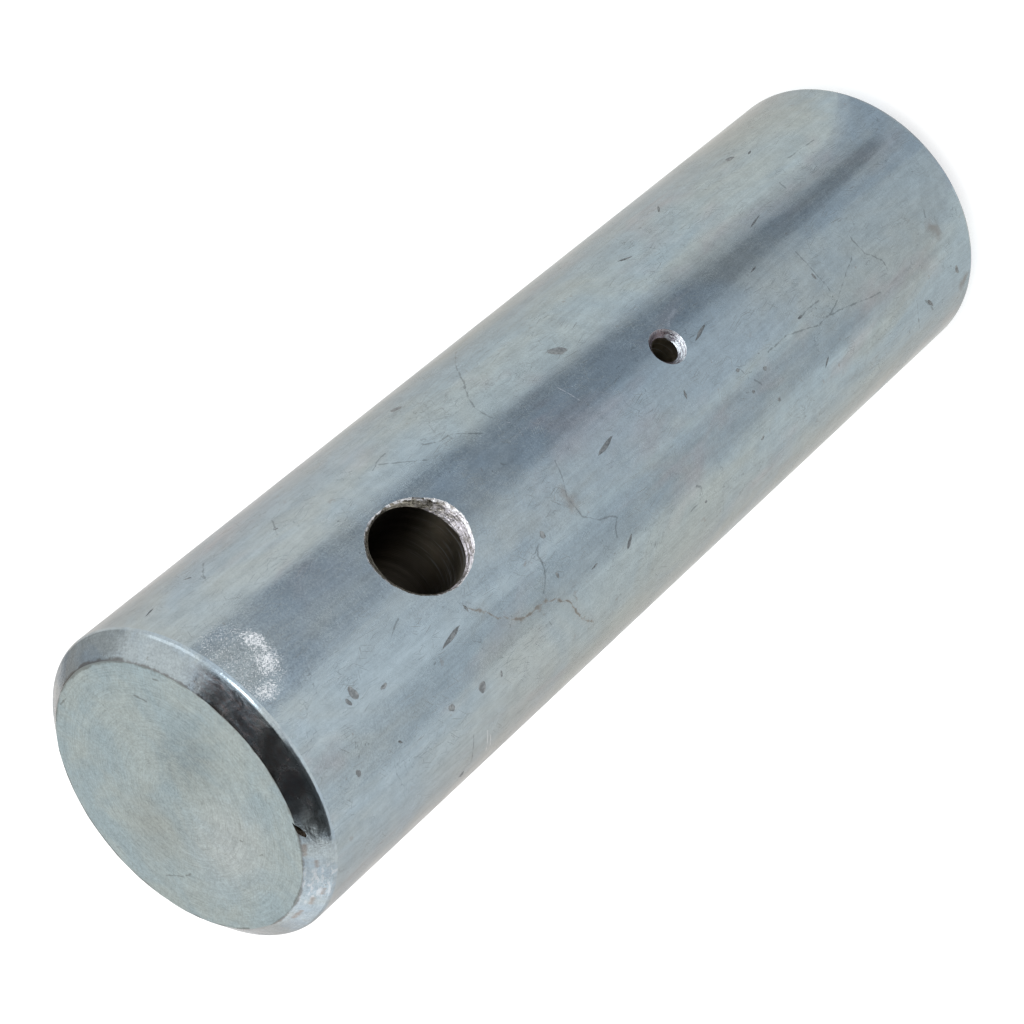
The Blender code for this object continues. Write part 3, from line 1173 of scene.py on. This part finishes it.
# grey cards that only show as reflections: how grey they are near the pin and far from it, their hue, and
# how high they lie over the floor and their corners, in mm
cards = {
    "band": {
        "grey": (0.40, 0.58),
        "hue": (0.92, 1.0, 1.13),
        "lift": 0.5,
        "corners": [
            (3, -29), (3, -36), (4, -52), (6, -68), (8, -87), (10, -107), (8, -124), (3, -143), (6, -161),
            (-2, -201), (-13, -214), (-38, -231), (-62, -300), (260, -180), (191, -133), (174, -123),
            (161, -119), (117, -109), (108, -106), (97, -104), (87, -100), (76, -97), (62, -87), (41, -76),
            (27, -62), (16, -49), (9, -35), (6, -29),
        ],
    },
    "bandEdge": {
        "grey": (0.35, 0.43),
        "hue": (0.92, 1.0, 1.13),
        "lift": 0.8,
        "corners": [
            (8, -46), (16, -58), (25, -75), (40, -93), (57, -110), (75, -122), (100, -135), (150, -155),
            (174, -123), (161, -119), (117, -109), (97, -104), (76, -97), (62, -87), (41, -76), (27, -62),
            (16, -49), (8, -35),
        ],
    },
    "slope": {
        "grey": (0.70, 0.78),
        "hue": (0.94, 1.0, 1.08),
        "lift": 0.35,
        "corners": [
            (-3, -20), (-4, -29), (-4, -36), (-5, -52), (-8, -68), (-11, -86), (-14, -106), (-20, -128),
            (0, -150), (60, -110), (55, -90), (43, -74), (32, -59), (22, -45), (14, -33), (12, -19),
        ],
    },
    "shoulder": {
        "grey": (0.84, 0.87),
        "hue": (0.97, 1.0, 1.04),
        "lift": 0.25,
        "corners": [
            (-10, -19), (-15, -25), (-20, -31), (-31, -42), (-43, -54), (-56, -67), (-71, -83), (-89, -101),
            (-110, -121), (-90, -190), (0, -200), (109, -117), (89, -98), (70, -80), (54, -66), (41, -53),
            (28, -42), (17, -31), (14, -18),
        ],
    },
    "foot": {
        "grey": (1.04, 1.01),
        "hue": (0.98, 1.0, 0.99),
        "lift": 0.1,
        "corners": circle(150, 48),
    },
    "haze": {
        "grey": (0.76, 0.80),
        "hue": (0.97, 1.0, 1.03),
        "lift": 0.4,
        "corners": [(-260, -32), (-120, -23), (-46, -19), (-36, -36), (-91, -84), (-200, -170)],
    },
    "hazeNear": {
        "grey": (0.84, 0.84),
        "hue": (0.99, 1.0, 1.0),
        "lift": 0.3,
        "corners": [(-40, -12), (-60, -25), (-48, -48), (0, -62), (3, -36), (0, -26), (-22, -20)],
    },
}

# boards that stand well away from the pin, for its chamfers and its end: corners in m
boards = {
    "flag": {
        "grey": 0.045,
        "corners": [
            (0.74, -0.62, 1.15), (-0.50, -0.95, 1.10), (-1.15, -0.20, 0.85),
            (-1.02, 0.21, 0.85), (-0.35, -0.08, 1.25), (0.15, -0.25, 1.25),
        ],
    },
    "skirt": {
        "grey": 0.09,
        "corners": [
            (-0.50, -0.95, 1.10), (-0.50, -0.95, 0.35), (-1.15, -0.20, 0.12),
            (-1.10, 0.0, 0.25), (-1.02, 0.21, 0.85), (-1.15, -0.20, 0.85),
        ],
    },
    "glint": {
        "grey": 1.6,
        "corners": [(0.85, -0.85, 0.30), (1.19, -0.19, 0.25), (1.19, -0.19, 0.80), (0.85, -0.85, 0.92)],
    },
    "glare": {
        "grey": 1.35,
        "corners": [(-0.37, 1.14, 0.08), (-1.01, 0.63, 0.17), (-0.91, 0.57, 0.55), (-0.41, 1.02, 0.49)],
    },
    "side": {
        "grey": 0.56,
        "corners": [(0.95, 0.10, 0.02), (0.95, 0.10, 0.55), (0.30, 0.95, 0.50), (0.30, 0.95, 0.02)],
    },
}


def paint(piece, name):
    # gives a piece of the studio an empty material
    material = bpy.data.materials.new(name)
    material.use_nodes = True
    material.node_tree.nodes.clear()
    piece.data.materials.append(material)
    return material.node_tree


def makeCard(name, corners, greys, hue=(1, 1, 1)):
    # seen by glossy rays alone, so it neither shows nor shades anything
    deselect()
    bpy.ops.mesh.primitive_circle_add(vertices=len(corners), radius=1, fill_type="NGON")
    card = bpy.context.object
    card.name = name
    for vert, corner in zip(card.data.vertices, corners):
        vert.co = corner
    tree = paint(card, name + "Grey")
    strength = greys[0]
    if greys[1] != greys[0]:
        place = addNode(tree, "TexCoord").outputs["Object"]
        strength = fade(tree, measure(tree, "LENGTH", place), studio["greyNear"], studio["greyFar"], *greys)
    glow = addNode(tree, "Emission", {"Color": (*hue, 1), "Strength": strength})
    tree.links.new(glow.outputs[0], addNode(tree, "OutputMaterial").inputs["Surface"])
    card.visible_camera = False
    card.visible_diffuse = False
    card.visible_transmission = False
    card.visible_volume_scatter = False
    card.visible_shadow = False


def makeFloor():
    deselect()
    bpy.ops.mesh.primitive_plane_add(size=studio["floorSize"])
    floor = bpy.context.object
    floor.name = "floor"
    tree = paint(floor, "floorWhite")
    matt = addNode(tree, "BsdfDiffuse", {"Color": studio["floorColour"]})
    path = addNode(tree, "LightPath").outputs
    seen = times(tree, path["Is Camera Ray"], studio["floorGlow"])
    mirrored = reckon(tree, "MAXIMUM", path["Is Glossy Ray"], path["Is Transmission Ray"])
    mirrored = times(tree, mirrored, studio["floorMirrored"])
    glow = addNode(tree, "Emission", {"Color": (1, 1, 1, 1), "Strength": total(tree, seen, mirrored)})
    both = addNode(tree, "AddShader", {0: matt.outputs[0], 1: glow.outputs[0]})
    tree.links.new(both.outputs[0], addNode(tree, "OutputMaterial").inputs["Surface"])


def makeWorld():
    world = bpy.data.worlds.new("studio")
    bpy.context.scene.world = world
    world.use_nodes = True
    background = world.node_tree.nodes["Background"]
    background.inputs["Color"].default_value = (1, 1, 1, 1)
    background.inputs["Strength"].default_value = 1.0


def makeSoftbox():
    data = bpy.data.lights.new("softbox", "AREA")
    data.shape = "SQUARE"
    data.size = studio["softboxSize"]
    data.energy = studio["softboxPower"]
    lamp = bpy.data.objects.new("softbox", data)
    bpy.context.scene.collection.objects.link(lamp)
    lamp.location = studio["softboxPlace"]
    lamp.rotation_euler = lamp.location.to_track_quat("Z", "Y").to_euler()


def makeCamera():
    data = bpy.data.cameras.new("camera")
    data.lens = studio["cameraLens"]
    data.sensor_width = 36
    camera = bpy.data.objects.new("camera", data)
    bpy.context.scene.collection.objects.link(camera)
    camera.location = studio["cameraPlace"]
    camera.rotation_euler = [math.radians(angle) for angle in studio["cameraTurn"]]
    bpy.context.scene.camera = camera


makeFloor()
for name, card in cards.items():
    corners = [(x * mm, y * mm, card["lift"] * mm) for x, y in card["corners"]]
    makeCard(name, corners, card["grey"], card["hue"])
for name, board in boards.items():
    makeCard(name, board["corners"], (board["grey"], board["grey"]))
makeWorld()
makeSoftbox()
makeCamera()
print("studio made")
bpy.context.scene.view_settings.view_transform = "Standard"
